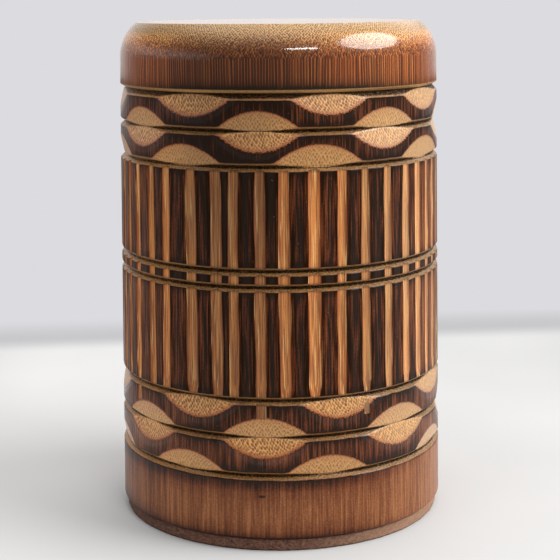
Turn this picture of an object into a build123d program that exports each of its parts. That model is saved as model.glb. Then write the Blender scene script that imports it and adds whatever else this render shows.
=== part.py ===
"""Carved bamboo tea caddy: a turned culm body with a glued base, and a lid that lifts off a neck sleeve.

Millimetres, +Z up. The origin is on the axis, in the plane that the base disc stands on. Azimuths are in
degrees about +Z, counted from the front (-Y) towards +X.
"""

from build123d import *
from math import asin, cos, radians, sin
import os
import random

# Driving dimensions: the culm
BASE_THICKNESS = 3.7
LID_TOP = 147.0
SEAM = 128.5
FOOT_RADIUS = 49.2
TAPER = 0.0175
BORE_RADIUS = 36.5
FOOT_CHAMFER = 0.6

# The base disc stands in a little from the culm's foot
BASE_INSET = 0.9
BASE_CHAMFER = 0.3

# Ring grooves, by the height of their middles
GROOVE_HEIGHTS = {"g8": 22.2, "g7": 33.3, "g6": 43.9, "g5": 75.8, "g4": 80.3, "g3": 108.9, "g2": 118.6}
GROOVE_HALF_WIDTH = 1.3
GROOVE_DEPTH = 1.5
SEAM_HALF_WIDTH = 1.6

# Neck sleeve, its seat in the body's mouth, and the lid's fit over it
SEAT_RADIUS = 38.0
SEAT_DEPTH = 16.0
SLEEVE_RADIUS = 37.9
SLEEVE_BORE = 35.0
SLEEVE_RISE = 12.0
SLEEVE_CHAMFER = 0.8
LID_CLEARANCE = 0.3

# Lid wall and the disc let into its top
SHOULDER_START = 137.0
SHOULDER_RADIUS = 12.8
LID_LEAD_IN = 0.6
LID_DISC_RADIUS = 39.4
LID_DISC_GAP = 0.1
LID_DISC_THICKNESS = 4.0

# Flutes: vertical gouge cuts between g3 and g6. Those at the front are set out by hand, the rest are evened out
FLUTE_COUNT = 43
FRONT_FLUTES = [-72.5, -66, -58.5, -49.5, -42, -31, -21.5, -15.5, -6.5, 1.5, 11.5, 21, 30, 39.5, 48.5, 56, 63, 69.5]
FLUTE_WIDTH = 3.1
FLUTE_DEPTH = 0.7
FLUTE_JITTER = 0.8
LONG_FLUTES = [-58.5, -6.5, 30]
LONG_FLUTE_END = 38.5

# Scallops: flats shaved across the skin above or below a ring. Each row is ring, side (+1 above, -1 below)
# and the azimuths of the cuts set out by hand at the front
SCALLOP_COUNT = 8
SCALLOP_ROWS = [
    ("seam", -1, [-79, -31, 17.5, 62]),
    ("g2", 1, [-55.5, -7, 39]),
    ("g2", -1, [-55.5, -7, 39]),
    ("g3", 1, [-34.5, 13.5, 61.5]),
    ("g6", -1, [-79, -29.5, 20.5, 67.5]),
    ("g7", 1, [-52.5, -5.5, 44.5]),
    ("g7", -1, [-52.5, -5.5, 44.5]),
    ("g8", 1, [-33.5, 16, 67]),
]
SCALLOP_DEPTH = 1.25
SCALLOP_REACH = 6.3
SCALLOP_CUT_WIDTH = 30.0
SCALLOP_CUT_THICKNESS = 5.0


def culm_radius(height):
    """Outer radius of the tapering culm before any carving."""
    return FOOT_RADIUS - TAPER * height


def turned(points, arc=None):
    """Solid of revolution about Z from (radius, height) points; arc is one extra edge closing the outline."""
    edges = [Line(a, b) for a, b in zip(points, points[1:])]
    edges.append(arc if arc else Line(points[-1], points[0]))
    profile = Plane.XZ * make_face(edges)
    return revolve(profile, Axis.Z)


def all_round(front, count):
    """The given azimuths, and the rest of count spaced evenly over the back."""
    missing = count - len(front)
    gap = (front[0] + 360 - front[-1]) / (missing + 1)
    return front + [front[-1] + gap * (i + 1) for i in range(missing)]


def to_azimuth(shape, azimuth):
    """Turns a shape made at the front (-Y) to its azimuth."""
    return Rot(0, 0, azimuth) * shape


def body_blank():
    """The turned body: foot, ring grooves, mouth and the seat for the sleeve."""
    points = [
        (BORE_RADIUS, BASE_THICKNESS),
        (culm_radius(BASE_THICKNESS) - FOOT_CHAMFER, BASE_THICKNESS),
        (culm_radius(BASE_THICKNESS + FOOT_CHAMFER), BASE_THICKNESS + FOOT_CHAMFER),
    ]
    for height in GROOVE_HEIGHTS.values():
        points.append((culm_radius(height - GROOVE_HALF_WIDTH), height - GROOVE_HALF_WIDTH))
        points.append((culm_radius(height) - GROOVE_DEPTH, height))
        points.append((culm_radius(height + GROOVE_HALF_WIDTH), height + GROOVE_HALF_WIDTH))
    points += [
        (culm_radius(SEAM - SEAM_HALF_WIDTH), SEAM - SEAM_HALF_WIDTH),
        (culm_radius(SEAM) - GROOVE_DEPTH, SEAM),
        (SEAT_RADIUS, SEAM),
        (SEAT_RADIUS, SEAM - SEAT_DEPTH),
        (BORE_RADIUS, SEAM - SEAT_DEPTH),
    ]
    return turned(points)


def flute_cutter(azimuth, top, bottom):
    """A round gouge cut that follows the culm's taper."""
    gouge_radius = (FLUTE_WIDTH**2 / 4 + FLUTE_DEPTH**2) / (2 * FLUTE_DEPTH)
    axis_offset = gouge_radius - FLUTE_DEPTH
    foot = Vector(0, -(culm_radius(bottom) + axis_offset), bottom)
    head = Vector(0, -(culm_radius(top) + axis_offset), top)
    run = head - foot
    rod = extrude(Plane(origin=foot, z_dir=run.normalized()) * Circle(gouge_radius), run.length)
    return to_azimuth(rod, azimuth)


def flute_cutters():
    """All the flutes, with a few that run on past g6 into the lower scallops."""
    jitter = random.Random(43)
    top = GROOVE_HEIGHTS["g3"]
    cutters = []
    for azimuth in all_round(FRONT_FLUTES, FLUTE_COUNT):
        bottom = LONG_FLUTE_END if azimuth in LONG_FLUTES else GROOVE_HEIGHTS["g6"]
        if azimuth not in FRONT_FLUTES:
            azimuth += jitter.uniform(-FLUTE_JITTER, FLUTE_JITTER)
        cutters.append(flute_cutter(azimuth, top, bottom))
    return cutters


def scallop_cutter(azimuth, ring_height, side):
    """A tilted block whose inner face shaves a flat, deepest at the ring and running out at the reach."""
    inner_at_ring = culm_radius(ring_height) - SCALLOP_DEPTH
    reach_height = ring_height + side * SCALLOP_REACH
    inner_at_reach = culm_radius(reach_height)
    outer = inner_at_reach + SCALLOP_CUT_THICKNESS
    wedge = make_face(
        Polyline(
            (inner_at_ring, ring_height),
            (inner_at_reach, reach_height),
            (outer, reach_height),
            (outer, ring_height),
            close=True,
        )
    )
    block = extrude(Plane.YZ * wedge, SCALLOP_CUT_WIDTH / 2, both=True)
    return Rot(0, 0, azimuth + 180) * block


def scallop_cutters():
    """Every row of scallops, all the way round."""
    heights = dict(GROOVE_HEIGHTS, seam=SEAM)
    return [
        scallop_cutter(azimuth, heights[ring], side)
        for ring, side, front in SCALLOP_ROWS
        for azimuth in all_round(front, SCALLOP_COUNT)
    ]


def body_tube():
    return body_blank() - flute_cutters() - scallop_cutters()


def base_disc():
    disc = Cylinder(
        culm_radius(BASE_THICKNESS) - BASE_INSET, BASE_THICKNESS, align=(Align.CENTER, Align.CENTER, Align.MIN)
    )
    return chamfer(disc.edges().filter_by(GeomType.CIRCLE), BASE_CHAMFER)


def neck_sleeve():
    low = SEAM - SEAT_DEPTH
    high = SEAM + SLEEVE_RISE
    return turned(
        [
            (SLEEVE_BORE, low),
            (SLEEVE_RADIUS, low),
            (SLEEVE_RADIUS, high - SLEEVE_CHAMFER),
            (SLEEVE_RADIUS - SLEEVE_CHAMFER, high),
            (SLEEVE_BORE, high),
        ]
    )


def lid_ring():
    """Lid wall: bore over the sleeve, rounded shoulder outside, a rabbet for the disc at the top."""
    bore = SLEEVE_RADIUS + LID_CLEARANCE
    rabbet = LID_DISC_RADIUS + LID_DISC_GAP
    ledge = LID_TOP - LID_DISC_THICKNESS
    centre = culm_radius(SHOULDER_START) - SHOULDER_RADIUS
    top_angle = asin((LID_TOP - SHOULDER_START) / SHOULDER_RADIUS)
    mid_angle = top_angle / 2
    rim = (centre + SHOULDER_RADIUS * cos(top_angle), LID_TOP)
    middle = (centre + SHOULDER_RADIUS * cos(mid_angle), SHOULDER_START + SHOULDER_RADIUS * sin(mid_angle))
    shoulder_foot = (culm_radius(SHOULDER_START), SHOULDER_START)
    points = [
        rim,
        (rabbet, LID_TOP),
        (rabbet, ledge),
        (bore, ledge),
        (bore, SEAM + LID_LEAD_IN),
        (bore + LID_LEAD_IN, SEAM),
        (culm_radius(SEAM) - GROOVE_DEPTH, SEAM),
        (culm_radius(SEAM + SEAM_HALF_WIDTH), SEAM + SEAM_HALF_WIDTH),
        shoulder_foot,
    ]
    return turned(points, ThreePointArc(shoulder_foot, middle, rim))


def lid_disc():
    low = LID_TOP - LID_DISC_THICKNESS
    disc = Cylinder(LID_DISC_RADIUS, LID_DISC_THICKNESS, align=(Align.CENTER, Align.CENTER, Align.MIN))
    return Pos(0, 0, low) * disc


PARTS = {
    "body_tube": body_tube,
    "base_disc": base_disc,
    "neck_sleeve": neck_sleeve,
    "lid_ring": lid_ring,
    "lid_disc": lid_disc,
}

os.makedirs("parts", exist_ok=True)
for name, make in PARTS.items():
    export_step(make(), f"parts/{name}.step")
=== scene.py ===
"""Looks of the carved bamboo tea caddy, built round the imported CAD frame.

Lengths in this script are millimetres and angles are degrees, as in the CAD source, until a mesh, camera or
light is made: Blender's objects are in metres. Azimuth 0 is the front (-Y), and it grows towards +X.
"""

import math
import random
from types import SimpleNamespace

import bpy
import numpy as np
from mathutils import Matrix, Vector


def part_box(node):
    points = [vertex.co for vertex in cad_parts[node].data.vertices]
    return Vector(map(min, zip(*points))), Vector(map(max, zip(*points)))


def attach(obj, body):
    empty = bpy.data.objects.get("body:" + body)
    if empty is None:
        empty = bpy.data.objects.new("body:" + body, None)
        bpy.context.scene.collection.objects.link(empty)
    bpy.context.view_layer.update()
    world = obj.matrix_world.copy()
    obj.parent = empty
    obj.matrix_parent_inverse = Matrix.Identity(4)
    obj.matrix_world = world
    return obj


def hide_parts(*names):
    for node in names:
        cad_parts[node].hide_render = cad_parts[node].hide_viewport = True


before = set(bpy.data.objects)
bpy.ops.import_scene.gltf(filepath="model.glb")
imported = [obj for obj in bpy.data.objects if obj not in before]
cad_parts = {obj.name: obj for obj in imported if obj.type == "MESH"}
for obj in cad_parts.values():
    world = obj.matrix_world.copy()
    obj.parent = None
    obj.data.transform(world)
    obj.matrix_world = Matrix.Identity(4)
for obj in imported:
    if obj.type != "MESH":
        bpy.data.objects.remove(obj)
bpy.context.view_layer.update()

MM = 0.001

# The culm
CULM_MIDDLE = 76.0
FOOT_RADIUS = 49.2
TAPER = 0.0175
BORE_RADIUS = 36.5
FOOT_CHAMFER = 0.6
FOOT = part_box("body_tube")[0][2] / MM
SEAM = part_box("body_tube")[1][2] / MM
LID_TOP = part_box("lid_ring")[1][2] / MM

# Ring grooves, by the heights of their middles, and the half groove that the body has under the lid
GROOVES = {"g8": 22.2, "g7": 33.3, "g6": 43.9, "g5": 75.8, "g4": 80.3, "g3": 108.9, "g2": 118.6}
GROOVE_HALF_WIDTH = 1.15
GROOVE_DEPTH = 1.5
SEAM_HALF_WIDTH = 1.6
LID_BEVEL = 1.0

# The sleeve's seat and the lid
SEAT_RADIUS = 38.0
SEAT_DEPTH = 16.0
LID_BORE = 38.2
LID_LEAD_IN = 0.6
SHOULDER_START = 137.0
SHOULDER_RADIUS = 12.8
RABBET_RADIUS = 39.5
DISC_RADIUS = 39.4
DISC_THICKNESS = 4.0

# Flutes at the front, which are uneven: azimuth and width in degrees, how pale the cut is, and how toasted
# the strip of skin to its right
FLUTE_COUNT = 43
FRONT_FLUTES = [
    (-72.5, 3.3, 0.9, 0.75), (-66, 2.8, 0.9, 0.75), (-58.5, 3.3, 1.1, 0.71), (-49.5, 3.3, 0.8, 0.74),
    (-42, 3.4, 1.0, 0.74), (-31, 4.4, 0.7, 0.76), (-21.5, 4.2, 0.65, 0.88), (-15.5, 3.5, 0.7, 0.92),
    (-6.5, 3.8, 0.62, 0.84), (1.5, 3.9, 0.95, 0.77), (11.5, 4.3, 1.15, 0.74), (21, 3.4, 1.0, 0.78),
    (30, 3.4, 0.75, 0.9), (39.5, 3.3, 0.85, 0.8), (48.5, 3.6, 1.1, 0.8), (56, 3.5, 1.25, 0.6),
    (63, 2.7, 1.1, 0.55), (69.5, 3.0, 1.1, 0.6),
]
FLUTE_JITTER = 0.8
LONG_FLUTES = [-58.5, -6.5, 30]
LONG_FLUTE_END = 38.5

# Scallops: ring, side of it (+1 above, -1 below), general size, and the azimuths at the front
SCALLOP_COUNT = 8
SCALLOP_ROWS = [
    ("seam", -1, 1.03, [-81.5, -31, 17.5, 62]),
    ("g2", 1, 0.97, [-55.5, -7, 39]),
    ("g2", -1, 1.0, [-55.5, -7, 39]),
    ("g3", 1, 1.07, [-34.5, 13.5, 61.5]),
    ("g6", -1, 1.0, [-81.5, -29.5, 20.5, 67.5]),
    ("g7", 1, 1.0, [-52.5, -5.5, 44.5]),
    ("g7", -1, 1.0, [-52.5, -5.5, 44.5]),
    ("g8", 1, 1.0, [-33.5, 16, 67]),
]
SCALLOP_DEPTH = 1.25
SCALLOP_REACH = 5.9
SCALLOP_HALF_WIDTH = 15.8
SCALLOP_SPAN = 25.0

# Depth given to every point outside a cut
UNCUT = -0.6


# ---------------------------------------------------------------- shape helpers


def culm_radius(height):
    """Outer radius of the tapering culm before any carving."""
    return FOOT_RADIUS - TAPER * height


def all_round(front, count):
    """The given azimuths, and the rest of count spaced evenly over the back."""
    missing = count - len(front)
    gap = (front[0] + 360 - front[-1]) / (missing + 1)
    return list(front) + [front[-1] + gap * (i + 1) for i in range(missing)]


def smoothstep(low, high, value):
    """0 below low and 1 above high, smoothly."""
    t = np.clip((value - low) / (high - low), 0, 1)
    return t * t * (3 - 2 * t)


def ripple(seed, angle, waves):
    """Smooth closed-up irregularity round the culm, about -1 to 1; waves are (count round, share) pairs."""
    draw = random.Random(seed)
    total = np.zeros_like(angle)
    for count, share in waves:
        total = total + share * np.sin(np.radians(angle) * count + draw.uniform(0, 2 * math.pi))
    return total


def grid_mesh(name, radius, height, angle, attributes, sharp_angle, caps=False):
    """A closed surface from a grid of rings (rows) and azimuths (columns).

    Without caps the last ring joins the first, as round a tube's wall; with caps the end rings are filled.
    """
    rows, columns = radius.shape
    theta = np.radians(angle)
    points = np.stack([radius * np.sin(theta), -radius * np.cos(theta), height], -1) * MM
    points = points.reshape(-1, 3)
    ring_pairs = [(r, r + 1) for r in range(rows - 1)] + ([] if caps else [(rows - 1, 0)])
    faces = []
    for low, high in ring_pairs:
        for c in range(columns):
            d = (c + 1) % columns
            faces.append((low * columns + c, low * columns + d, high * columns + d, high * columns + c))
    values = {key: value.reshape(-1) for key, value in attributes.items()}
    if caps:
        for row, turn in ((0, 1), (rows - 1, -1)):
            middle = len(points)
            points = np.vstack([points, [[0, 0, height[row, 0] * MM]]])
            for key in values:
                values[key] = np.append(values[key], values[key][row * columns])
            for c in range(columns):
                d = (c + 1) % columns
                ring = (row * columns + c, row * columns + d)[::-turn]
                faces.append((middle, *ring))
    mesh = bpy.data.meshes.new(name)
    mesh.from_pydata(points.tolist(), [], faces)
    for key, value in values.items():
        layer = mesh.attributes.new(key, "FLOAT", "POINT")
        layer.data.foreach_set("value", value.astype(np.float32))
    mesh.polygons.foreach_set("use_smooth", [True] * len(mesh.polygons))
    mesh.set_sharp_from_angle(angle=math.radians(sharp_angle))
    mesh.validate()
    obj = bpy.data.objects.new(name, mesh)
    bpy.context.scene.collection.objects.link(obj)
    return obj


# ---------------------------------------------------------------- carved body

# Columns across one flute, in half widths from its middle, and how many more lie on the skin beside it
FLUTE_SECTION = [-1.12, -1, -0.8, -0.45, 0, 0.45, 0.8, 1, 1.12]
SKIN_COLUMNS = 2
PLAIN_FLUTE_WIDTH = 3.8
FLUTE_TOP = GROOVES["g3"]
FLUTE_BOTTOM = GROOVES["g6"]


class Flute:
    """One gouge cut: where its edges run and how deep it is, by height."""

    def __init__(self, azimuth, width, pale, toast, draw, bottom):
        self.azimuth = azimuth
        self.half_width = width / 2
        self.pale = pale
        self.toast = toast
        self.bottom = bottom
        self.depth = draw.uniform(0.5, 0.68)
        self.lean = draw.uniform(-0.25, 0.25)
        self.waves = [
            [(draw.uniform(0.03, 0.12), draw.uniform(14, 60), draw.uniform(0, 6.3)) for _ in range(3)]
            for _ in range(2)
        ]
        self.top_share = draw.uniform(0.8, 1.12)
        self.bottom_share = draw.uniform(0.68, 1.0)
        self.taper = draw.uniform(2.5, 5.5)

    def edges(self, height):
        """Azimuths of the left and right edge."""
        share = 1 + (self.top_share - 1) * smoothstep(FLUTE_TOP - 9, FLUTE_TOP - 1, height)
        low = FLUTE_BOTTOM + 1
        opening = smoothstep(low, low + self.taper, height)
        share = share * (self.bottom_share + (1 - self.bottom_share) * opening)
        lean = self.lean * (height - CULM_MIDDLE) / 30
        sides = []
        for side, waves in zip((-1, 1), self.waves):
            wander = sum(a * np.sin(2 * math.pi * height / length + phase) for a, length, phase in waves)
            sides.append(self.azimuth + lean + side * self.half_width * share + wander)
        return sides

    def depth_at(self, height):
        """Depth of the cut's middle; it runs out at its lower end."""
        share = 0.55 + 0.45 * smoothstep(FLUTE_BOTTOM, FLUTE_BOTTOM + self.taper + 2, height)
        ends = smoothstep(self.bottom - 0.5, self.bottom + 0.5, height) * (height < FLUTE_TOP)
        return self.depth * share * ends


def make_flutes():
    """The listed flutes at the front, and evenly spaced ones with seeded differences over the back."""
    draw = random.Random(43)
    front = {flute[0]: flute[1:] for flute in FRONT_FLUTES}
    flutes = []
    for azimuth in all_round(list(front), FLUTE_COUNT):
        bottom = LONG_FLUTE_END if azimuth in LONG_FLUTES else FLUTE_BOTTOM
        if azimuth in front:
            width, pale, toast = front[azimuth]
        else:
            azimuth += draw.uniform(-FLUTE_JITTER, FLUTE_JITTER)
            width, pale, toast = draw.uniform(3.0, 4.0), draw.uniform(0.7, 1.1), draw.uniform(0.7, 0.88)
        flutes.append(Flute(azimuth, width, pale, toast, draw, bottom))
    return flutes


def body_heights():
    """Ring heights of the outer surface: close together at the grooves and in the scallop bands."""
    spread = np.array([1.7, 1.3, 1.0, 0.7, 0.45, 0.22, 0.0])
    heights = [FOOT, FOOT + 0.25, FOOT + FOOT_CHAMFER, FOOT + 1.0, FOOT + 1.6, FOOT + 2.6]
    for height in GROOVES.values():
        heights += list(height - spread) + list(height + spread[:-1])
    mouth = SEAM - SEAM_HALF_WIDTH
    heights += [mouth - 0.4, mouth, mouth + 0.35, mouth + 0.7, mouth + 1.05, mouth + 1.35, SEAM]
    bands = [
        (FOOT + 2.6, GROOVES["g8"], 2.8),
        (GROOVES["g8"], GROOVES["g7"], 0.52),
        (GROOVES["g7"], GROOVES["g6"], 0.52),
        (GROOVES["g6"], GROOVES["g5"], 1.6),
        (GROOVES["g5"], GROOVES["g4"], 0.8),
        (GROOVES["g4"], GROOVES["g3"], 1.6),
        (GROOVES["g3"], GROOVES["g2"], 0.52),
        (GROOVES["g2"], mouth, 0.52),
    ]
    taken = sorted(heights)
    for low, high, step in bands:
        heights += [h for h in np.arange(low, high, step) if min(abs(h - t) for t in taken) > step * 0.55]
    return np.array(sorted(heights))


def body_columns(flutes, heights):
    """Azimuth of every grid point: columns follow the flutes' edges, with two more on the skin between."""
    columns = []
    for flute in flutes:
        left, right = flute.edges(heights)
        cut = smoothstep(flute.bottom - 1.5, flute.bottom - 0.5, heights) * (heights < FLUTE_TOP + 1.0)
        middle = cut * (left + right) / 2 + (1 - cut) * flute.azimuth
        half = cut * (right - left) / 2 + (1 - cut) * PLAIN_FLUTE_WIDTH / 2
        columns.append([middle + half * place for place in FLUTE_SECTION])
    angle = []
    for i, group in enumerate(columns):
        following = columns[(i + 1) % len(columns)][0] + (360 if i + 1 == len(columns) else 0)
        angle += group
        for place in range(SKIN_COLUMNS):
            share = (place + 1) / (SKIN_COLUMNS + 1)
            angle.append(group[-1] * (1 - share) + following * share)
    return np.stack(angle, 1)


def scallop_depth(angle, height):
    """Depth of the deepest scallop at each point, below zero outside them all, and which are cut upwards."""
    rings = dict(GROOVES, seam=SEAM)
    deepest = np.full(angle.shape, UNCUT)
    upward = np.zeros(angle.shape)
    squeeze = math.degrees(math.acos(1 - SCALLOP_DEPTH / culm_radius(CULM_MIDDLE))) / SCALLOP_HALF_WIDTH
    draw = random.Random(8)
    for ring, side, general, front in SCALLOP_ROWS:
        for azimuth in all_round(front, SCALLOP_COUNT):
            size = general * draw.uniform(0.96, 1.04)
            away = (angle - azimuth + 180) % 360 - 180
            run = (height - rings[ring]) * side
            flat = culm_radius(height) - SCALLOP_DEPTH * size * (1 - run / (SCALLOP_REACH * size))
            swing = np.clip(away * squeeze / size**0.5, -60, 60)
            depth = culm_radius(height) - flat / np.cos(np.radians(swing))
            depth = np.where((run >= -0.05) & (abs(away) < SCALLOP_SPAN), depth, UNCUT)
            upward = np.where((depth > deepest) & (depth > -0.4), float(side < 0), upward)
            deepest = np.maximum(deepest, depth)
    return deepest, upward


def ring_depth(height, middle, half_width):
    """Depth of a V groove, below zero beyond its lips."""
    away = np.sqrt((height - middle) ** 2 + 0.01)
    return GROOVE_DEPTH * (1 - away / half_width)


def burn(height, low, high):
    """1 between two heights, with soft ends."""
    return smoothstep(low - 0.12, low + 0.12, height) * (1 - smoothstep(high - 0.12, high + 0.12, height))


def toast(height):
    """How dark the heat and the turner have left the skin, from 0, reddish brown, to 1, near black."""
    zones = [
        (FOOT, 0.18), (20.9, 0.2), (23.5, 0.36), (42.6, 0.84), (45.2, 0.86), (74.4, 0.8),
        (75.8, 1.0), (80.3, 1.0), (81.8, 0.84), (107.6, 0.86), (110.2, 0.9), (127, 0.86),
    ]
    level = np.interp(height, [up for up, _ in zones], [dark for _, dark in zones])
    level = level + 0.9 * np.exp(-(height - FOOT) / 1.5)
    for name, middle in dict(GROOVES, seam=SEAM).items():
        reach, added = (2.2, 0.9) if name == "g8" else (0.7, 0.75)
        away = np.maximum(np.abs(height - middle) - GROOVE_HALF_WIDTH, 0)
        level = level + added * np.exp(-away / reach)
    return np.clip(level, 0, 1.3)


def groove_depth_scorch_and_shade(angle, height):
    """Depth of the V grooves at each point, and how dark their bottoms and sides are: burned, with painted
    shade in the recess and in the seam's gap.
    """
    uneven = 0.07 * ripple(5, angle, [(23, 0.5), (57, 0.3), (101, 0.2)])
    vee = np.full(angle.shape, UNCUT)
    scorch_and_shade = np.zeros(angle.shape)
    for middle in GROOVES.values():
        vee = np.maximum(vee, ring_depth(height, middle + uneven, GROOVE_HALF_WIDTH))
        # A burned bottom with painted shade in the recess, darkest over the upper flank, which faces down
        scorch_and_shade = np.maximum(scorch_and_shade, burn(height, middle - 0.4, middle + 0.7))
        scorch_and_shade = np.maximum(scorch_and_shade, 0.55 * burn(height, middle - 1.3, middle))
        scorch_and_shade = np.maximum(scorch_and_shade, 0.3 * burn(height, middle, middle + 1.3))
    vee = np.maximum(vee, GROOVE_DEPTH * (1 - (SEAM - height) / SEAM_HALF_WIDTH))
    # Painted shade in the seam's gap under the lid
    scorch_and_shade = np.maximum(scorch_and_shade, burn(height, SEAM - 1.05, SEAM + 1))
    scorch_and_shade = np.maximum(scorch_and_shade, 0.42 * burn(height, SEAM - 1.8, SEAM + 1))
    return vee, scorch_and_shade


def flute_grids(flutes, heights, shape):
    """Depth of the flutes at each point, and for each column how pale the cut and how toasted the skin is."""
    depths = np.full(shape, UNCUT)
    pale = np.ones(shape[1])
    strip = np.ones(shape[1])
    per_flute = len(FLUTE_SECTION) + SKIN_COLUMNS
    past_middle = len(FLUTE_SECTION) // 2 + 1
    for i, flute in enumerate(flutes):
        first = i * per_flute
        depth = flute.depth_at(heights)
        for j, across in enumerate(FLUTE_SECTION):
            section = np.sign(1 - across**2) * abs(1 - across**2) ** 0.8
            depths[:, first + j] = np.where(depth > 0.02, depth * section, UNCUT)
        pale[first : first + per_flute] = flute.pale
        strip[first : first + past_middle] = flutes[i - 1].toast
        strip[first + past_middle : first + per_flute] = flute.toast
    return depths, pale, strip


def seat_and_bore(angle):
    """Radius, height and azimuth grids of the body's inner surface, from the mouth down to the foot."""
    step = SEAM - SEAT_DEPTH
    outline = [(SEAT_RADIUS, SEAM), (SEAT_RADIUS, step), (BORE_RADIUS, step)]
    outline += [(BORE_RADIUS, h) for h in np.linspace(step - 6, FOOT + 6, 14)]
    outline.append((BORE_RADIUS, FOOT))
    radius = np.array([r for r, _ in outline])[:, None] + 0 * angle[:1]
    height = np.array([h for _, h in outline])[:, None] + 0 * angle[:1]
    return radius, height, np.repeat(angle[:1], len(outline), 0)


def carved_body():
    """The culm's wall: V grooves, scallops and flutes outside, the sleeve's seat and the bore inside."""
    flutes = make_flutes()
    outer = body_heights()
    angle = body_columns(flutes, outer)
    height = np.repeat(outer[:, None], angle.shape[1], 1)
    vee, scorch_and_shade = groove_depth_scorch_and_shade(angle, height)
    scallop, upward = scallop_depth(angle, height)
    flute_depth, pale, strip = flute_grids(flutes, outer, angle.shape)

    cut = np.maximum(np.maximum(vee, scallop), flute_depth)
    radius = culm_radius(height) - np.maximum(cut, 0)
    radius = radius - np.maximum(FOOT + FOOT_CHAMFER - height, 0)
    is_flute = (flute_depth > np.maximum(np.maximum(scallop, vee - 0.05), -0.3)) * 1.0
    in_band = burn(height, FLUTE_BOTTOM + 1, FLUTE_TOP - 1) * (1 - burn(height, GROOVES["g5"], GROOVES["g4"]))

    inner_radius, inner_height, inner_angle = seat_and_bore(angle)
    none = 0 * inner_radius
    attributes = {
        "depth": np.vstack([cut, culm_radius(inner_height) - inner_radius]),
        "toast": np.vstack([toast(height) + in_band * (strip - 0.8), none]),
        "scorch_and_shade": np.vstack([scorch_and_shade * smoothstep(0.02, 0.25, vee - scallop), none]),
        "fluted": np.vstack([is_flute * pale * np.where(height < FLUTE_BOTTOM, 0.7, 1), none]),
        "upward": np.vstack([upward, none]),
    }
    all_radius = np.vstack([radius, inner_radius])
    all_height = np.vstack([height, inner_height])
    return grid_mesh("carved_body", all_radius, all_height, np.vstack([angle, inner_angle]), attributes, 24)


# ---------------------------------------------------------------- lid and discs

LID_COLUMNS = 320
LID_DISC_COLUMNS = 240
BASE_DISC_COLUMNS = 540


def turned(profile, columns):
    """Grids of radius, height and azimuth for an outline, (radius, height), turned round the axis."""
    radius = np.array([r for r, _ in profile])[:, None] * np.ones(columns)
    height = np.array([h for _, h in profile])[:, None] * np.ones(columns)
    angle = np.repeat(np.linspace(0, 360, columns, endpoint=False)[None], len(profile), 0)
    return radius, height, angle


def lid_wall():
    """The turned lid: a bevelled lip, the wall, the round shoulder, the disc's rabbet and the bore."""
    centre = culm_radius(SHOULDER_START) - SHOULDER_RADIUS
    last = math.asin((LID_TOP - SHOULDER_START) / SHOULDER_RADIUS)
    lip = SEAM + LID_BEVEL
    profile = [(LID_BORE + LID_LEAD_IN, SEAM), (culm_radius(SEAM) - GROOVE_DEPTH, SEAM)]
    for share in (0.25, 0.5, 0.75, 0.92, 1.0):
        profile.append((culm_radius(SEAM) - GROOVE_DEPTH * (1 - share), SEAM + LID_BEVEL * share))
    profile += [(culm_radius(lip + up), lip + up) for up in (0.3, 0.7, 1.2, 2, 3.2, 4.6)]
    for share in np.linspace(0, 1, 34):
        out = SHOULDER_RADIUS * math.cos(last * share)
        up = SHOULDER_RADIUS * math.sin(last * share)
        profile.append((centre + out, SHOULDER_START + up))
    rim = centre + SHOULDER_RADIUS * math.cos(last)
    profile += [(rim - 0.25, LID_TOP), (rim - 1.2, LID_TOP), (RABBET_RADIUS + 0.2, LID_TOP)]
    profile += [(RABBET_RADIUS, LID_TOP - 0.2), (RABBET_RADIUS, LID_TOP - DISC_THICKNESS)]
    profile += [(LID_BORE, LID_TOP - DISC_THICKNESS), (LID_BORE, SEAM + 7), (LID_BORE, SEAM + LID_LEAD_IN)]
    radius, height, angle = turned(profile, LID_COLUMNS)
    outside = radius > RABBET_RADIUS + 1
    attributes = {
        "depth": culm_radius(height) - radius,
        "toast": 1.8 * np.exp(-np.abs(height - lip) / np.where(height > lip, 1.7, 0.2)) * outside,
        # Burned bevel with painted shade in the gap of the seam
        "scorch_and_shade": burn(height, SEAM - 1, SEAM + 0.35) * outside,
        "pared": burn(height, SEAM + 0.35, lip + 0.05) * outside,
    }
    return grid_mesh("lid_wall", radius, height, angle, attributes, 24)


def disc(name, profile, columns, rough=0.0, sharp_angle=30):
    """A solid disc from its outline, (radius, height) from the bottom up, its rim frayed by up to rough."""
    radius, height, angle = turned(profile, columns)
    rim = (radius > radius.max() - 0.6) * 1.0
    if rough:
        draw = np.random.default_rng(3)
        fine = draw.uniform(0, 1, radius.shape) * rough
        coarse = rough * (1 + ripple(9, angle + 9 * height, [(31, 0.4), (67, 0.3), (113, 0.3)]))
        radius = radius - rim * (0.5 * fine + 0.5 * coarse)
    return grid_mesh(name, radius, height, angle, {"rim": rim}, sharp_angle, caps=True)


def base_disc():
    """The pressed board that closes the foot, with a slightly frayed rim."""
    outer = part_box("base_disc")[1][0] / MM
    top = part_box("base_disc")[1][2] / MM
    flat = [outer * share for share in (0.02, 0.2, 0.4, 0.6, 0.8, 0.94)]
    profile = [(r, 0.0) for r in flat] + [(outer - 0.3, 0.0), (outer - 0.05, 0.25)]
    profile += [(outer, h) for h in (0.7, 1.2, 1.7, 2.2, 2.7, 3.1)]
    profile += [(outer - 0.1, top - 0.22), (outer - 0.35, top)] + [(r, top) for r in flat[::-1]]
    return disc("base_board", profile, BASE_DISC_COLUMNS, rough=0.28, sharp_angle=50)


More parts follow.
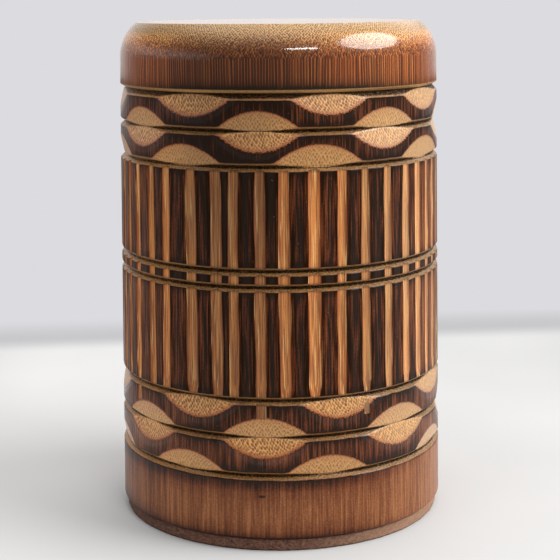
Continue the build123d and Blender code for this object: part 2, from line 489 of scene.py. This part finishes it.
def lid_disc():
    """The plain wooden disc that lies flush in the lid's top."""
    low = LID_TOP - DISC_THICKNESS
    flat = [DISC_RADIUS * share for share in (0.02, 0.15, 0.3, 0.45, 0.6, 0.75, 0.88)]
    profile = [(r, low) for r in flat] + [(DISC_RADIUS, low), (DISC_RADIUS, LID_TOP - 0.3)]
    profile += [(DISC_RADIUS - 0.08, LID_TOP - 0.1), (DISC_RADIUS - 0.3, LID_TOP)]
    profile += [(r, LID_TOP) for r in flat[::-1]]
    return disc("lid_inset", profile, LID_DISC_COLUMNS)


# ---------------------------------------------------------------- materials


def rgb(red, green, blue):
    """An sRGB colour from 0 to 255 as Blender's linear RGBA."""
    linear = []
    for value in (red, green, blue):
        value /= 255
        linear.append(value / 12.92 if value <= 0.04045 else ((value + 0.055) / 1.055) ** 2.4)
    return (*linear, 1.0)


class Nodes:
    """Short calls that add nodes to one material and return their output sockets."""

    def __init__(self, name):
        self.material = bpy.data.materials.new(name)
        self.start(self.material)

    @classmethod
    def on(cls, world):
        """The same calls for a world instead of a material."""
        nodes = cls.__new__(cls)
        nodes.start(world)
        return nodes

    def start(self, owner):
        owner.use_nodes = True
        self.tree = owner.node_tree
        self.tree.nodes.clear()

    def add(self, kind, inputs=None, **settings):
        """Adds a node: inputs by number or name, each a value or a socket, and settings by name."""
        node = self.tree.nodes.new(kind)
        for key, value in settings.items():
            setattr(node, key, value)
        for key, value in (inputs or {}).items():
            self.feed(node.inputs[key], value)
        return node

    def feed(self, socket, value):
        if isinstance(value, bpy.types.NodeSocket):
            self.tree.links.new(value, socket)
        else:
            socket.default_value = value

    def math(self, operation, a, b=0.0, c=0.0):
        return self.add("ShaderNodeMath", {0: a, 1: b, 2: c}, operation=operation).outputs[0]

    def vary(self, level, noise, amount):
        """The level with a noise added, which runs from 0 to 1 and is taken about its middle."""
        return self.math("MULTIPLY_ADD", self.math("SUBTRACT", noise, 0.5), amount, level)

    def mix(self, share, a, b, blend="MIX"):
        node = self.add("ShaderNodeMix", {0: share, 6: a, 7: b}, data_type="RGBA", blend_type=blend)
        return node.outputs[2]

    def scale_colour(self, colour, share):
        """The colour times a single value."""
        grey = self.add("ShaderNodeCombineColor", {0: share, 1: share, 2: share}).outputs[0]
        return self.mix(1.0, colour, grey, "MULTIPLY")

    def step(self, value, low, high):
        """0 below low and 1 above high, smoothly."""
        kind = dict(interpolation_type="SMOOTHSTEP", clamp=True)
        return self.add("ShaderNodeMapRange", {0: value, 1: low, 2: high, 3: 0.0, 4: 1.0}, **kind).outputs[0]

    def fall(self, value, low, high):
        """1 below low and 0 above high, smoothly."""
        return self.math("SUBTRACT", 1.0, self.step(value, low, high))

    def ramp(self, value, stops):
        """A colour ramp; stops are (position, colour) with positions from 0 to 1."""
        node = self.add("ShaderNodeValToRGB", {0: value})
        elements = node.color_ramp.elements
        while len(elements) < len(stops):
            elements.new(0.5)
        for element, (position, colour) in zip(elements, stops):
            element.position = position
            element.color = colour
        return node.outputs[0]

    def attribute(self, name):
        return self.add("ShaderNodeAttribute", attribute_name=name).outputs["Fac"]

    def noise(self, vector, detail=2.0, roughness=0.5):
        inputs = {"Vector": vector, "Scale": 1.0, "Detail": detail, "Roughness": roughness}
        return self.add("ShaderNodeTexNoise", inputs).outputs[0]

    def scaled(self, vector, x, y, z):
        return self.add("ShaderNodeVectorMath", {0: vector, 1: (x, y, z)}, operation="MULTIPLY").outputs[0]

    def split(self, vector):
        """The vector's X, Y and Z."""
        return self.add("ShaderNodeSeparateXYZ", {0: vector}).outputs[:3]

    def position(self):
        """Object position in millimetres."""
        coordinates = self.add("ShaderNodeTexCoord").outputs["Object"]
        return self.scaled(coordinates, 1 / MM, 1 / MM, 1 / MM)

    def streaks(self, position, width, length, detail=2.0, roughness=0.55):
        """Noise drawn out along the culm: width and length of a streak in mm."""
        return self.noise(self.scaled(position, 1 / width, 1 / width, 1 / length), detail, roughness)

    def grit(self, position):
        """Fine unevenness of the surface, the same in all directions."""
        return self.step(self.noise(self.scaled(position, 2.2, 2.2, 2.2), 3.0, 0.75), 0.3, 0.7)

    def bump(self, height, depth_mm):
        inputs = {"Height": height, "Distance": depth_mm * MM, "Strength": 1.0}
        return self.add("ShaderNodeBump", inputs).outputs[0]

    def finish(self, **inputs):
        """Adds the surface shader and returns the material."""
        shader = self.add("ShaderNodeBsdfPrincipled")
        for key, value in inputs.items():
            self.feed(shader.inputs[key.replace("_", " ")], value)
        output = self.add("ShaderNodeOutputMaterial")
        self.tree.links.new(shader.outputs[0], output.inputs[0])
        return self.material


# Middle of the small dark knot in the foot
KNOT = (-5.6, -48.5, 16.4)

# Tints of the sheen, and the painted light on cuts made upwards, which face up
AMBER = (1.0, 0.72, 0.46, 1)
COPPER = (1.0, 0.45, 0.16, 1)
HONEY = (1.0, 0.8, 0.6, 1)
UPWARD_PAINTED_LIGHT = (1.2, 1.22, 1.22, 1)

# Bundles stand closer together towards the skin: LAYERS * (depth + SKIN) ** CROWDING lattice steps inwards
BUNDLES_ROUND = 300
LID_BUNDLES_ROUND = 360
LAYERS = 7.4
SKIN = 0.3
CROWDING = 0.413


def bundles(n, position, depth, slant=0.0, count=BUNDLES_ROUND):
    """The culm's vascular bundles: a lattice seen as dots in slanted cuts and as streaks along the grain.

    Returns the distance from the nearest bundle's middle, in lattice steps, and a random value per bundle.
    """
    across, back, up = n.split(position)
    azimuth = n.math("ARCTAN2", across, n.math("MULTIPLY", back, -1.0))
    along = n.math("MULTIPLY", azimuth, count / (2 * math.pi))
    along = n.math("MULTIPLY_ADD", n.streaks(position, 6.0, 50.0, 1.0), 2.5, along)
    along = n.math("MULTIPLY_ADD", n.math("MULTIPLY", up, slant), 0.22, along)
    inward = n.math("POWER", n.math("MAXIMUM", n.math("ADD", depth, SKIN), 0.01), CROWDING)
    inward = n.math("MULTIPLY", inward, LAYERS)
    first = n.math("ADD", along, inward)
    second = n.math("SUBTRACT", along, inward)
    lattice = n.add("ShaderNodeCombineXYZ", {0: first, 1: second, 2: 0.0}).outputs[0]
    inputs = {"Vector": lattice, "Scale": 1.0, "Randomness": 0.42}
    cells = n.add("ShaderNodeTexVoronoi", inputs, voronoi_dimensions="2D", feature="F1")
    tone = n.add("ShaderNodeSeparateColor", {0: cells.outputs["Color"]}).outputs[0]
    return cells.outputs["Distance"], tone


def lacquered(n, colour, relief, relief_depth, roughness, gloss, sheen=0.5, tint=AMBER, coat_ior=1.5):
    """Amber lacquer over bamboo: a broad warm sheen from the fibres and a thin clear gloss."""
    return n.finish(
        Base_Color=colour,
        Normal=n.bump(relief, relief_depth),
        Roughness=0.5,
        Specular_IOR_Level=sheen,
        Specular_Tint=tint,
        Coat_Weight=gloss,
        Coat_Roughness=roughness,
        Coat_IOR=coat_ior,
        Coat_Normal=n.bump(relief, relief_depth * 0.25),
    )


def body_fields(n):
    """What the body's colours share: where a point is, how it was cut, and the marks of the grain there."""
    f = SimpleNamespace()
    f.position = n.position()
    f.across, _, f.up = n.split(f.position)
    f.depth = n.attribute("depth")
    f.fluted = n.attribute("fluted")
    f.upward = n.attribute("upward")
    f.in_flute = n.step(f.fluted, 0.1, 0.4)
    f.fine = n.step(n.streaks(f.position, 0.5, 16.0, 2.0, 0.6), 0.3, 0.7)
    f.grit = n.grit(f.position)
    f.spot, f.tone = bundles(n, f.position, f.depth, f.upward)

    # A darker patch of the upper half, left of the middle
    charred = n.math("MULTIPLY", n.step(f.across, -32.0, -20.0), n.fall(f.across, -7.0, 3.0))
    f.charred = n.math("MULTIPLY", charred, n.step(f.up, 74.0, 92.0))

    # Depth with a cut's edge made uneven, most of all where the gouge went up against the grain
    tear = n.math("MULTIPLY_ADD", f.upward, 0.16, 0.04)
    ragged = n.math("MULTIPLY_ADD", n.math("SUBTRACT", 0.4, f.spot), tear, f.depth)
    f.ragged = n.vary(ragged, f.fine, 0.05)

    # Bundles seen as dots in the cuts
    reach = n.math("MULTIPLY_ADD", f.upward, 0.08, 0.3)
    reach = n.math("MULTIPLY_ADD", f.in_flute, 0.06, reach)
    dot = n.fall(f.spot, n.math("SUBTRACT", reach, 0.08), n.math("ADD", reach, 0.2))
    f.dot = n.math("MULTIPLY", dot, n.step(f.ragged, 0.02, 0.25))
    return f


def skin_colour(n, f):
    """Streaked skin, from reddish brown to near black, with the knot in the foot."""
    toasted = n.attribute("toast")
    above_foot = n.step(f.up, 20.0, 24.0)
    contrast = n.math("MULTIPLY_ADD", n.math("MULTIPLY", toasted, above_foot), 0.45, 0.32)
    level = n.vary(toasted, f.fine, contrast)
    level = n.vary(level, n.streaks(f.position, 1.3, 45.0, 2.0), 0.7)
    level = n.vary(level, n.streaks(f.position, 7.0, 90.0, 1.0), 0.35)
    level = n.vary(level, f.grit, 0.16)

    # Painted light: the skin is drawn lighter towards the left and the right, and at the right of the foot
    painted_side_light = n.math("MULTIPLY", n.fall(f.across, -46.0, -24.0), n.step(f.up, 19.0, 24.0))
    painted_side_light = n.math("MULTIPLY_ADD", painted_side_light, 1.15, n.step(f.across, 24.0, 48.0))
    level = n.math("MULTIPLY_ADD", n.math("MULTIPLY", painted_side_light, toasted), -0.3, level)
    painted_side_light = n.math("MULTIPLY", n.step(f.across, 4.0, 44.0), n.fall(f.up, 20.0, 23.0))
    level = n.math("MULTIPLY_ADD", painted_side_light, n.math("MULTIPLY_ADD", toasted, -0.7, 0.1), level)
    level = n.math("MULTIPLY_ADD", f.charred, 0.16, level)

    offset = n.add("ShaderNodeVectorMath", {0: f.position, 1: KNOT}, operation="SUBTRACT").outputs[0]
    squashed = n.scaled(offset, 0.8, 0.2, 1.9)
    spread = n.add("ShaderNodeVectorMath", {0: squashed}, operation="LENGTH").outputs["Value"]
    knot = n.fall(n.math("MULTIPLY_ADD", f.grit, 0.9, spread), 0.7, 1.5)
    level = n.math("MULTIPLY_ADD", knot, 0.7, level)
    stops = [
        (0.0, rgb(166, 108, 68)),
        (0.3, rgb(124, 71, 42)),
        (0.6, rgb(86, 41, 23)),
        (0.85, rgb(36, 15, 9)),
        (1.0, rgb(9, 4, 3)),
    ]
    return n.ramp(level, stops)


def scallop_colour(n, f):
    """Scallops and grooves: a red-brown edge, then tan with the bundles' dots, painted lighter where cut
    upwards, as these cuts face up.
    """
    softer = n.math("MULTIPLY_ADD", f.upward, -0.3, 1.0)
    softer = n.math("MULTIPLY_ADD", f.in_flute, -0.4, softer)
    stops = [
        (0.0, rgb(76, 28, 11)),
        (0.004, rgb(146, 74, 34)),
        (0.009, rgb(190, 116, 58)),
        (0.016, rgb(212, 150, 82)),
        (0.06, rgb(219, 160, 90)),
        (0.3, rgb(219, 162, 94)),
        (0.8, rgb(228, 188, 126)),
    ]
    colour = n.ramp(n.math("MULTIPLY", f.ragged, n.math("MULTIPLY", softer, 1 / 12)), stops)
    # Painted light on the cuts that face up
    colour = n.mix(f.upward, colour, UPWARD_PAINTED_LIGHT, "MULTIPLY")
    strength = n.math("MULTIPLY_ADD", f.tone, 0.4, 0.35)
    strength = n.math("MULTIPLY_ADD", f.upward, 0.2, strength)
    strength = n.math("MULTIPLY_ADD", f.in_flute, -0.2, strength)
    mark = n.mix(f.upward, rgb(122, 74, 42), rgb(112, 56, 22))
    return n.mix(n.math("MULTIPLY", f.dot, strength), colour, mark)


def flute_colour(n, f):
    """Flutes: orange-brown with dark lines along the grain and painted glints between them."""
    level = n.math("MULTIPLY", n.vary(f.ragged, f.fine, 0.12), 1.4)
    stops = [
        (0.0, rgb(94, 38, 17)),
        (0.12, rgb(140, 71, 32)),
        (0.4, rgb(192, 113, 51)),
        (1.0, rgb(222, 148, 76)),
    ]
    colour = n.ramp(level, stops)
    lines = n.step(n.streaks(f.position, 0.45, 34.0, 2.0, 0.7), 0.44, 0.58)
    colour = n.mix(n.math("MULTIPLY", lines, 0.66), colour, rgb(108, 50, 21))
    # Painted glints on the fibres
    glints = n.step(n.streaks(f.position, 0.3, 22.0, 1.0, 0.6), 0.56, 0.72)
    return n.mix(n.math("MULTIPLY", glints, 0.75), colour, rgb(250, 202, 132))


def cut_colour(n, f):
    """All the cuts: each flute has its own paleness, with painted light making the cuts paler at the right
    and lighter at the left.
    """
    colour = n.mix(f.in_flute, scallop_colour(n, f), flute_colour(n, f))
    pale = n.math("MULTIPLY_ADD", n.math("SUBTRACT", f.fluted, 0.9), f.in_flute, 1.0)
    colour = n.scale_colour(colour, pale)
    # Painted light: paler towards the right, where the window falls
    colour = n.mix(n.math("MULTIPLY", n.step(f.across, 12.0, 46.0), 0.24), colour, rgb(244, 214, 170))
    # Painted light: lighter towards the left
    colour = n.scale_colour(colour, n.math("MULTIPLY_ADD", n.fall(f.across, -44.0, -20.0), 0.3, 1.0))
    return n.scale_colour(colour, n.math("MULTIPLY_ADD", f.charred, -0.22, 1.0))


def carved_bamboo():
    """The body: toasted skin, paler cuts, and grooves with burned cores and painted shade."""
    n = Nodes("carved_bamboo")
    f = body_fields(n)
    colour = n.mix(n.step(f.ragged, -0.01, 0.05), skin_colour(n, f), cut_colour(n, f))

    # Burned groove cores with painted shade in the recess, uneven along the ring
    grains = n.step(n.noise(n.scaled(f.position, 2.3, 2.3, 2.3), 2.0, 0.7), 0.36, 0.64)
    burn_and_painted_shading = n.math("MULTIPLY", n.attribute("scorch_and_shade"), n.math("MULTIPLY_ADD", grains, 0.65, 0.75))
    # Painted light: the burned cores are drawn less dark towards the left
    painted_left_light = n.math("MULTIPLY_ADD", n.fall(f.across, -48.0, -22.0), -0.35, 1.0)
    burn_and_painted_shading = n.math("MINIMUM", n.math("MULTIPLY", burn_and_painted_shading, painted_left_light), 1.0)
    colour = n.mix(burn_and_painted_shading, colour, rgb(34, 21, 9))
    colour = n.mix(n.math("MULTIPLY", f.grit, 0.16), colour, rgb(40, 20, 10))
    specks = n.step(n.noise(n.scaled(f.position, 1.7, 1.7, 1.7), 2.0, 0.6), 0.755, 0.78)
    colour = n.mix(n.math("MULTIPLY", specks, 0.5), colour, rgb(214, 188, 160))

    # Cuts are glossier than the skin, flutes less so, and the burned groove cores with their painted shade
    # are matt
    relief = n.math("MULTIPLY_ADD", f.dot, -0.7, n.math("MULTIPLY", f.fine, 0.35))
    relief = n.math("MULTIPLY_ADD", f.grit, 0.2, relief)
    in_cut = n.step(f.ragged, 0.0, 0.12)
    matt = n.math("MULTIPLY_ADD", burn_and_painted_shading, -0.85, 1.0)
    roughness = n.math("MULTIPLY_ADD", in_cut, 0.2, n.math("MULTIPLY_ADD", f.grit, 0.06, 0.08))
    roughness = n.math("MULTIPLY_ADD", f.upward, 0.08, roughness)
    gloss = n.math("MULTIPLY_ADD", in_cut, 0.6, n.math("MULTIPLY_ADD", f.dot, -0.3, 0.3))
    gloss = n.math("MULTIPLY_ADD", f.in_flute, -0.28, gloss)
    gloss = n.math("MULTIPLY_ADD", f.upward, 0.35, gloss)
    gloss = n.math("MULTIPLY", gloss, matt)
    sheen = n.math("MULTIPLY", n.math("MULTIPLY_ADD", in_cut, 0.3, 0.25), matt)
    return lacquered(n, colour, relief, 0.06, roughness, gloss, sheen, n.mix(in_cut, COPPER, HONEY))


def lid_fields(n):
    """What the lid's colours share: where a point is, the grain there, and the bundles seen as dots."""
    f = SimpleNamespace()
    f.position = n.position()
    f.across = n.split(f.position)[0]
    f.depth = n.attribute("depth")
    f.fine = n.step(n.streaks(f.position, 0.5, 12.0, 2.0, 0.6), 0.3, 0.7)
    f.middle = n.streaks(f.position, 1.3, 30.0, 2.0)
    f.grit = n.grit(f.position)

    # The bundles' ends are staggered where the shoulder begins to cut across the grain
    ends = n.math("SUBTRACT", n.streaks(f.position, 0.9, 400.0, 1.0), 0.5)
    begins = n.math("MULTIPLY", n.step(f.depth, 0.02, 0.4), n.fall(f.depth, 0.8, 2.2))
    uneven = n.math("MULTIPLY_ADD", n.math("MULTIPLY", ends, begins), 1.3, f.depth)
    spot, f.tone = bundles(n, f.position, uneven, 0.0, LID_BUNDLES_ROUND)
    reach = n.add("ShaderNodeMapRange", {0: f.depth, 1: 0.0, 2: 2.5, 3: 0.5, 4: 0.36}, clamp=True).outputs[0]
    f.dot = n.fall(spot, n.math("SUBTRACT", reach, 0.08), n.math("ADD", reach, 0.1))
    return f


def lid_grain(n, f):
    """Wood between the bundles and the darker bundles, both paler further in, with painted light at both
    sides of the wall.
    """
    level = n.vary(f.depth, f.fine, 0.6)
    level = n.vary(level, f.middle, 0.7)
    level = n.vary(level, n.streaks(f.position, 9.0, 60.0, 1.0), 1.0)
    level = n.math("MULTIPLY_ADD", level, 1 / 6, 0.1)
    stops = [
        (0.0, rgb(120, 58, 24), rgb(44, 17, 7)),
        (0.1, rgb(136, 70, 28), rgb(52, 21, 9)),
        (0.2, rgb(158, 94, 42), rgb(58, 26, 11)),
        (0.4, rgb(196, 140, 74), rgb(66, 36, 16)),
        (0.65, rgb(206, 158, 92), rgb(74, 44, 20)),
        (1.0, rgb(208, 166, 106), rgb(92, 58, 28)),
    ]
    wood = n.ramp(level, [(place, pale) for place, pale, _ in stops])
    fibre = n.ramp(level, [(place, dark) for place, _, dark in stops])
    strength = n.math("MULTIPLY_ADD", f.tone, 0.3, 0.7)
    colour = n.mix(n.math("MULTIPLY", f.dot, strength), wood, fibre)

    # Painted light: the wall is drawn lighter towards the left and the right
    lighter = n.math("MULTIPLY_ADD", n.step(f.across, 32.0, 46.0), 0.5, n.step(f.across, -4.0, 27.0))
    lighter = n.math("MAXIMUM", lighter, n.math("MULTIPLY", n.fall(f.across, -44.0, -20.0), 2.0))
    lighter = n.math("MULTIPLY", lighter, n.fall(f.depth, 0.8, 3.0))
    return n.scale_colour(colour, n.math("MULTIPLY_ADD", lighter, 1.15, 1.0))


def lid_marks(n, f, toasted, colour):
    """The colour with a burned band above the lip, less dark at the sides as painted light, a burned seam
    with painted shade in its gap, a pale pared bevel and some dirt.
    """
    burn_and_painted_shading = n.math("MULTIPLY", toasted, n.math("MULTIPLY_ADD", f.middle, 0.8, 0.45))
    # Painted light: the burned band is drawn less dark at both sides
    sides = n.math("MAXIMUM", n.step(f.across, 10.0, 48.0), n.fall(f.across, -44.0, -20.0))
    burn_and_painted_shading = n.math("MULTIPLY", burn_and_painted_shading, n.math("MULTIPLY_ADD", sides, -0.6, 1.0))
    colour = n.mix(n.math("MINIMUM", burn_and_painted_shading, 1.0), colour, rgb(24, 12, 7))
    # Burned seam with painted shade in its gap
    scorch_and_shade = n.math("MULTIPLY", n.attribute("scorch_and_shade"), n.math("MULTIPLY_ADD", f.grit, 0.4, 0.72))
    colour = n.mix(n.math("MINIMUM", scorch_and_shade, 1.0), colour, rgb(26, 15, 8))
    pared = n.math("MULTIPLY", n.attribute("pared"), n.math("MULTIPLY_ADD", f.grit, -0.5, 1.0))
    colour = n.mix(pared, colour, rgb(214, 166, 104))
    return n.mix(n.math("MULTIPLY", f.grit, 0.16), colour, rgb(40, 20, 10))


def lid_bamboo():
    """The turned lid: dark streaks on the wall, which become a net of dots over the shoulder."""
    n = Nodes("turned_bamboo")
    f = lid_fields(n)
    toasted = n.attribute("toast")
    colour = lid_marks(n, f, toasted, lid_grain(n, f))
    relief = n.math("MULTIPLY_ADD", f.dot, -0.7, n.math("MULTIPLY", f.fine, 0.35))
    relief = n.math("MULTIPLY_ADD", f.grit, 0.2, relief)
    roughness = n.math("MULTIPLY_ADD", f.grit, 0.04, 0.03)
    gloss = n.math("MULTIPLY_ADD", f.dot, -0.15, 1.0)
    gloss = n.math("MULTIPLY_ADD", n.math("MINIMUM", toasted, 1.0), -0.8, gloss)
    return lacquered(n, colour, relief, 0.014, roughness, gloss, 0.3, HONEY, 1.55)


def pale_bamboo():
    """Sanded inner bamboo of the neck sleeve."""
    n = Nodes("pale_bamboo")
    position = n.position()
    fine = n.streaks(position, 0.35, 18.0, 3.0, 0.6)
    broad = n.streaks(position, 3.0, 60.0)
    level = n.math("MULTIPLY_ADD", broad, 0.5, n.math("MULTIPLY", fine, 0.5))
    colour = n.ramp(level, [(0.3, rgb(176, 128, 78)), (0.5, rgb(214, 172, 118)), (0.7, rgb(230, 196, 146))])
    return n.finish(Base_Color=colour, Roughness=0.5, Normal=n.bump(fine, 0.03), Specular_IOR_Level=0.35)


def inset_wood():
    """Plain-sawn pale wood of the disc in the lid, lacquered with the rest."""
    n = Nodes("inset_wood")
    position = n.position()
    warp = n.noise(n.scaled(position, 0.02, 0.06, 0.02), 2.0)
    shift = n.add("ShaderNodeCombineXYZ", {0: 0.0, 1: n.math("MULTIPLY", warp, 14.0), 2: 0.0}).outputs[0]
    warped = n.add("ShaderNodeVectorMath", {0: position, 1: shift}, operation="ADD").outputs[0]
    rings = n.noise(n.scaled(warped, 0.012, 0.55, 0.05), 3.0, 0.6)
    pores = n.noise(n.scaled(position, 0.12, 3.4, 1.0), 3.0, 0.7)
    level = n.math("MULTIPLY_ADD", pores, 0.3, n.math("MULTIPLY", rings, 0.7))
    colour = n.ramp(level, [(0.34, rgb(140, 86, 46)), (0.5, rgb(188, 130, 78)), (0.64, rgb(206, 154, 100))])
    return lacquered(n, colour, pores, 0.01, 0.05, 1.0)


def pressed_fibre():
    """Reddish hardboard: matted fibres and flecks, with painted shade along its edges at the table and under
    the tube, and painted light at the right.
    """
    n = Nodes("pressed_fibre")
    position = n.position()
    clumps = n.noise(n.scaled(position, 0.9, 0.9, 1.6), 4.0, 0.7)
    flecks = n.noise(n.scaled(position, 3.6, 3.6, 5.5), 3.0, 0.7)
    colour = n.ramp(clumps, [(0.3, rgb(60, 35, 26)), (0.5, rgb(108, 72, 57)), (0.7, rgb(142, 106, 87))])
    across, _, up = n.split(position)
    # Painted light: paler towards the right, where the window falls
    colour = n.mix(n.math("MULTIPLY", n.step(across, 0.0, 44.0), 0.45), colour, rgb(214, 170, 138))
    colour = n.mix(n.math("MULTIPLY", n.step(flecks, 0.56, 0.68), 0.6), colour, rgb(190, 156, 136))
    colour = n.mix(n.math("MULTIPLY", n.fall(flecks, 0.3, 0.42), 0.7), colour, rgb(40, 24, 18))
    # Painted shade along the bottom edge at the table and the top edge under the tube
    edge = n.math("MAXIMUM", n.fall(up, 0.1, 0.55), n.step(up, 3.2, 3.6))
    colour = n.mix(n.math("MULTIPLY", edge, 0.75), colour, rgb(44, 30, 24))
    relief = n.math("MULTIPLY_ADD", flecks, 0.6, clumps)
    return n.finish(Base_Color=colour, Roughness=0.75, Normal=n.bump(relief, 0.2), Specular_IOR_Level=0.25)


# ---------------------------------------------------------------- stage, light and camera

# The photo's view, from in front of the caddy and above it
CAMERA_DISTANCE = 432.0
CAMERA_HEIGHT = 155.2
CAMERA_PITCH = 11.32
CAMERA_ROLL = 0.48
LENS = 92.3
SENSOR_WIDTH = 36.0

# The table reaches far to the front and sides, has painted shade away from the caddy, and blurs into the wall
# behind as a glowing band with a painted shadow line
TABLE_REACH = 2500.0
TABLE_EDGE = 262.0
BLUR_NEAR = 194.0
BLUR_FAR = 220.0
TABLE_SKEW = -0.086
SHADE_NEAR = 95.0
SHADE_FAR = 215.0
WALL = rgb(220, 219, 223)

LIGHT_DISTANCE = 900.0


def direction(azimuth, elevation):
    """Unit vector towards a light, azimuth from the front towards +X."""
    flat = math.cos(math.radians(elevation))
    a = math.radians(azimuth)
    return Vector((flat * math.sin(a), -flat * math.cos(a), math.sin(math.radians(elevation))))


def softbox(name, azimuth, elevation, distance, width, height, radiance, colour=(1, 1, 1), shape="RECTANGLE"):
    """A flat light aimed at the middle of the caddy, of the given size and brightness."""
    aim = Vector((0, 0, CULM_MIDDLE * MM))
    away = direction(azimuth, elevation)
    filled = math.pi / 4 if shape == "ELLIPSE" else 1
    data = bpy.data.lights.new(name, "AREA")
    data.shape = shape
    data.size = width * MM
    data.size_y = height * MM
    data.energy = radiance * math.pi * data.size * data.size_y * filled
    data.color = colour
    lamp = bpy.data.objects.new(name, data)
    lamp.location = aim + away * distance * MM
    lamp.rotation_euler = away.to_track_quat("Z", "Y").to_euler()
    bpy.context.scene.collection.objects.link(lamp)


def make_world():
    """A pale wall for the camera; for everything else a room, dim in front, bright behind and above."""
    world = bpy.data.worlds.new("room")
    bpy.context.scene.world = world
    n = Nodes.on(world)
    right, back, up = n.split(n.add("ShaderNodeTexCoord").outputs["Generated"])
    level = n.math("MULTIPLY_ADD", n.step(back, 0.45, 0.95), 0.66, 0.16)
    level = n.math("MULTIPLY", level, n.math("MULTIPLY_ADD", n.step(up, -0.25, 0.02), 0.7, 0.3))
    level = n.math("MULTIPLY_ADD", n.step(up, 0.35, 1.0), 0.65, level)
    level = n.math("MULTIPLY_ADD", n.step(up, 0.7, 0.95), 0.95, level)

    # A brighter patch high up behind, from the middle to the right
    behind = n.math("MULTIPLY", n.step(up, 0.2, 0.5), n.fall(up, 0.75, 0.95))
    behind = n.math("MULTIPLY", behind, n.step(back, 0.0, 0.6))
    behind = n.math("MULTIPLY", behind, n.step(right, -0.35, 0.25))
    level = n.math("MULTIPLY_ADD", behind, 1.1, level)

    # A low light at the left
    low = n.math("MULTIPLY", n.step(up, -0.04, 0.24), n.fall(up, 0.1, 0.46))
    low = n.math("MULTIPLY", low, n.fall(right, -1.0, -0.6))
    level = n.math("MULTIPLY_ADD", low, 1.1, level)

    room = n.add("ShaderNodeBackground", {0: (1.0, 0.985, 0.98, 1), 1: level})
    wall = n.add("ShaderNodeBackground", {0: WALL})
    seen = n.add("ShaderNodeLightPath").outputs["Is Camera Ray"]
    mixed = n.add("ShaderNodeMixShader", {0: seen, 1: room.outputs[0], 2: wall.outputs[0]})
    n.add("ShaderNodeOutputWorld", {0: mixed.outputs[0]})


def make_floor():
    """A pale table with painted light and shade: lighter at the left and darker at the right, darker away
    from the caddy, and its far edge a glowing band that fades into the wall.
    """
    side = TABLE_REACH * MM
    far = TABLE_EDGE * MM
    mesh = bpy.data.meshes.new("table")
    corners = [(-side, -side, 0), (side, -side, 0), (side, far, 0), (-side, far, 0)]
    mesh.from_pydata(corners, [], [(0, 1, 2, 3)])
    table = bpy.data.objects.new("table", mesh)
    bpy.context.scene.collection.objects.link(table)
    n = Nodes("table_top")
    position = n.position()
    across, back, _ = n.split(position)
    # Painted shade away from the caddy, at the sides and in front
    in_front = n.math("MINIMUM", back, 0.0)
    away = n.math("ADD", n.math("POWER", across, 2.0), n.math("POWER", in_front, 2.0))
    shade = n.step(n.math("SQRT", away), SHADE_NEAR, SHADE_FAR)
    cloud = n.noise(n.scaled(position, 0.01, 0.01, 0.01), 2.0)
    # Painted light and shade: lighter at the left, darker at the right
    colour = n.mix(n.step(across, -110, 90), rgb(214, 215, 215), rgb(184, 185, 186))
    colour = n.mix(cloud, colour, rgb(200, 201, 201))
    colour = n.mix(shade, colour, rgb(158, 158, 158))
    surface = n.add("ShaderNodeBsdfDiffuse", {0: colour})
    # The far edge glows as an emitting band fading into the wall, with a painted shadow line of darker grey
    # nearer the caddy
    depth = n.math("MULTIPLY_ADD", across, TABLE_SKEW, back)
    line = n.mix(n.step(depth, BLUR_FAR + 1, TABLE_EDGE), rgb(201, 200, 203), WALL)
    blur = n.add("ShaderNodeEmission", {0: line, 1: 1.0})
    blurred = n.step(depth, BLUR_NEAR, BLUR_FAR)
    mixed = n.add("ShaderNodeMixShader", {0: blurred, 1: surface.outputs[0], 2: blur.outputs[0]})
    n.add("ShaderNodeOutputMaterial", {0: mixed.outputs[0]})
    mesh.materials.append(n.material)


def make_camera():
    """The photo's view: pitched down, rolled a little, and looking along +Y."""
    data = bpy.data.cameras.new("camera")
    data.lens = LENS
    data.sensor_width = SENSOR_WIDTH
    camera = bpy.data.objects.new("camera", data)
    tilt = Matrix.Rotation(math.radians(90 - CAMERA_PITCH), 4, "X")
    roll = Matrix.Rotation(math.radians(-CAMERA_ROLL), 4, "Z")
    place = Matrix.Translation((0, -CAMERA_DISTANCE * MM, CAMERA_HEIGHT * MM))
    camera.matrix_world = place @ tilt @ roll
    bpy.context.scene.collection.objects.link(camera)
    bpy.context.scene.camera = camera


def make_lights():
    """A big soft window at the right and a narrow bright strip near the front."""
    softbox("window", 77.5, 37, LIGHT_DISTANCE, 740, 490, 9.0, (1.0, 0.985, 0.96), "ELLIPSE")
    softbox("strip", 18, 32, LIGHT_DISTANCE, 290, 32, 40.0)


# ---------------------------------------------------------------- the model


def dress(piece, body, material, node):
    """Gives a piece its material, says what it moves with, and hides the CAD node it stands for."""
    piece.data.materials.append(material)
    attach(piece, body)
    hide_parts(node)


bpy.context.scene.view_settings.view_transform = "Standard"
make_camera()
make_world()
make_lights()
make_floor()

dress(carved_body(), "caddy", carved_bamboo(), "body_tube")
dress(lid_wall(), "lid", lid_bamboo(), "lid_ring")
dress(base_disc(), "caddy", pressed_fibre(), "base_disc")
dress(lid_disc(), "lid", inset_wood(), "lid_disc")
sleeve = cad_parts["neck_sleeve"]
sleeve.data.materials.clear()
sleeve.data.materials.append(pale_bamboo())
